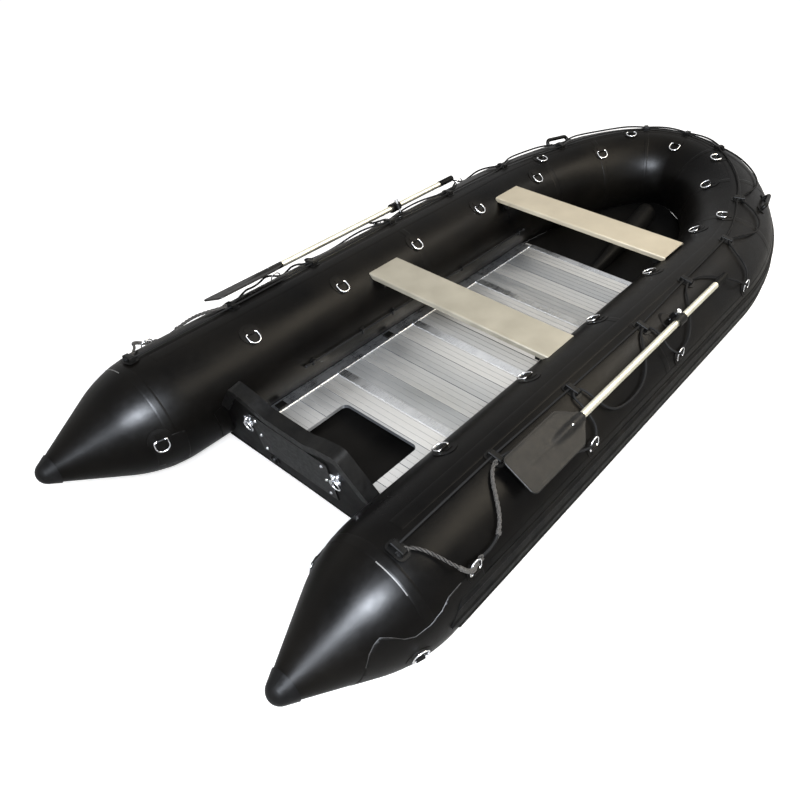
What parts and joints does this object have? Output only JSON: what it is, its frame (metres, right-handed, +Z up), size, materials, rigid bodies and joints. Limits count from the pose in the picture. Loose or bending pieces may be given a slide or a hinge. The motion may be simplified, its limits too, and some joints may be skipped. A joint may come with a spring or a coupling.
{
  "type": "inflatable boat",
  "caption": "Inflatable sport boat with two tubes joined round a raised bow, aluminium plank floor, wooden transom, bench seats and oars that swing on pins.",
  "frame": {"origin": "on the floor under the middle of the boat's outline", "axes": "+X to the bow, +Y to port, +Z up"},
  "size_m": [4.2099, 1.84, 0.6061],
  "materials": {
    "tube_skin": "coated fabric, glossy black",
    "black_trim": "moulded, satin black",
    "rubber": "ribbed black rubber",
    "floor_metal": "mill finish planks",
    "seat_metal": "champagne anodised",
    "steel": "polished stainless",
    "transom_wood": "black painted plywood",
    "oar_shaft": "pale anodised",
    "oar_plastic": "grey-black moulded",
    "rope": "braided grey-black rope"
  },
  "bodies": {
    "root": {"cone_port": "tube_skin", "cone_starboard": "tube_skin", "cone_caps": "black_trim", "tube_port": "tube_skin", "tube_starboard": "tube_skin", "bow_tube": "tube_skin", "hull_bottom": "tube_skin", "floor_panel_1": "floor_metal", "floor_panel_2": "floor_metal", "floor_panel_3": "floor_metal", "floor_panel_4": "floor_metal", "floor_joints": "floor_metal", "floor_front_edge": "floor_metal", "stringer_port": "floor_metal", "stringer_starboard": "floor_metal", "stringer_clips": "black_trim", "transom_board": "transom_wood", "transom_cap": "black_trim", "motor_plates": "black_trim", "transom_flanges": "black_trim", "seat_rear": "seat_metal", "seat_front": "seat_metal", "seat_rear_holders": "black_trim", "seat_front_holders": "black_trim", "keel_tube": "tube_skin", "keel_strake": "rubber", "oarlock_base_port": "black_trim", "oarlock_pin_port": "steel", "oarlock_base_starboard": "black_trim", "oarlock_pin_starboard": "steel", "rub_strake": "rubber", "ring_pads_inner": "black_trim", "rings_inner": "steel", "ring_pads_outer": "black_trim", "rings_outer": "steel", "ring_pads_cones": "black_trim", "rings_cones": "steel", "rope_holders": "black_trim", "lifeline_port": "rope", "lifeline_starboard": "rope", "top_lines": "rope", "inner_lines": "rope", "inner_line_eyes": "steel", "bow_handles": "black_trim", "towing_eyes": "steel", "towing_rings": "steel", "drain_socket": "black_trim"},
    "oar_port": {"oar_shaft_port": "oar_shaft", "oar_blade_port": "oar_plastic", "oar_grip_port": "black_trim", "oar_collar_port": "black_trim"},
    "oar_starboard": {"oar_shaft_starboard": "oar_shaft", "oar_blade_starboard": "oar_plastic", "oar_grip_starboard": "black_trim", "oar_collar_starboard": "black_trim"}
  },
  "joints": [
    {"name": "oar_swing_port", "type": "hinge", "parent": "root", "child": "oar_port", "pos_m": [0.08902, 0.79457, 0.51022], "axis": [0, -0.454, -0.891], "range_deg": [0, 130]},
    {"name": "oar_swing_starboard", "type": "hinge", "parent": "root", "child": "oar_starboard", "pos_m": [0.08902, -0.79457, 0.51022], "axis": [0, -0.454, 0.891], "range_deg": [0, 130]}
  ]
}
